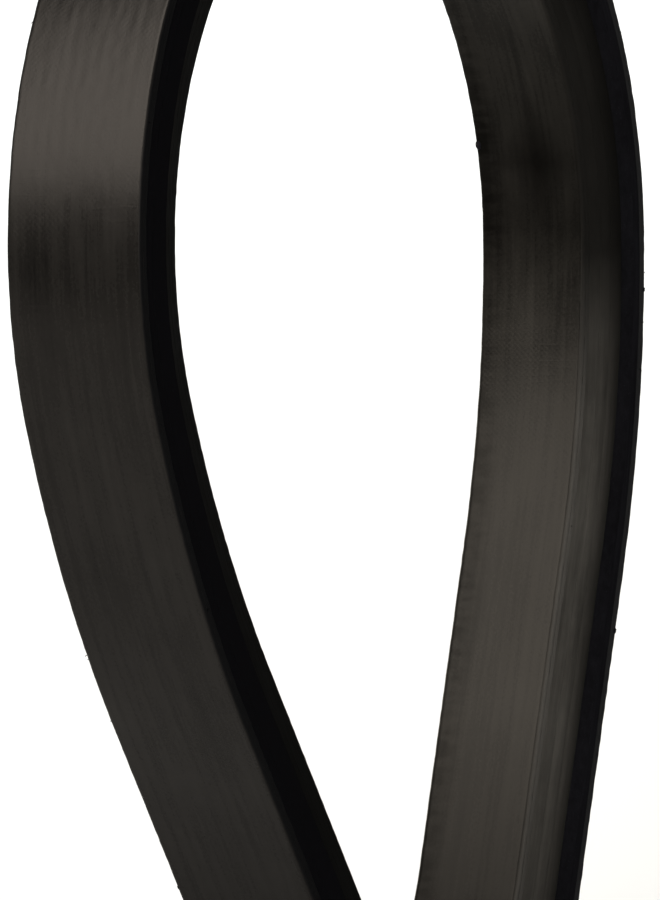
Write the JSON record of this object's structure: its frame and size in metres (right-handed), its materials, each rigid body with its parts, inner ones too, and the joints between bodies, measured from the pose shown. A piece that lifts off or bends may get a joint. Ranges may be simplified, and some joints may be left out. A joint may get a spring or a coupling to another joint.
{
  "type": "v belt",
  "caption": "Endless raw-edge V belt of fabric, rubber and cord plies, with parallel shoulders and tapered flanks, set round one large and one small bend.",
  "frame": {"origin": "axis of the large bend, at the middle of the belt's width", "axes": "+Y across the belt along the sheave axes, +Z from the small bend to the large bend, +X across the loop"},
  "size_m": [0.113, 0.017, 0.1535],
  "materials": {
    "back_fabric": "rubber-filled black woven fabric, dull sheen",
    "tension_rubber": "cut rubber, matt",
    "cord_rubber": "cut rubber, matt",
    "tension_cord": "twisted polyester cord",
    "compression_rubber": "fibre-filled rubber, ground flank",
    "base_fabric": "rubber-filled black woven fabric, matt"
  },
  "bodies": {
    "root": {"back_fabric_inner_ply": "back_fabric", "back_fabric_outer_ply": "back_fabric", "base_fabric_inner_ply": "base_fabric", "base_fabric_outer_ply": "base_fabric", "compression_rubber_ply_1": "compression_rubber", "compression_rubber_ply_2": "compression_rubber", "compression_rubber_ply_3": "compression_rubber", "cord_rubber_lower": "cord_rubber", "cord_rubber_upper": "cord_rubber", "tension_cord_01": "tension_cord", "tension_cord_02": "tension_cord", "tension_cord_03": "tension_cord", "tension_cord_04": "tension_cord", "tension_cord_05": "tension_cord", "tension_cord_06": "tension_cord", "tension_cord_07": "tension_cord", "tension_cord_08": "tension_cord", "tension_cord_09": "tension_cord", "tension_cord_10": "tension_cord", "tension_rubber": "tension_rubber"}
  },
  "joints": []
}
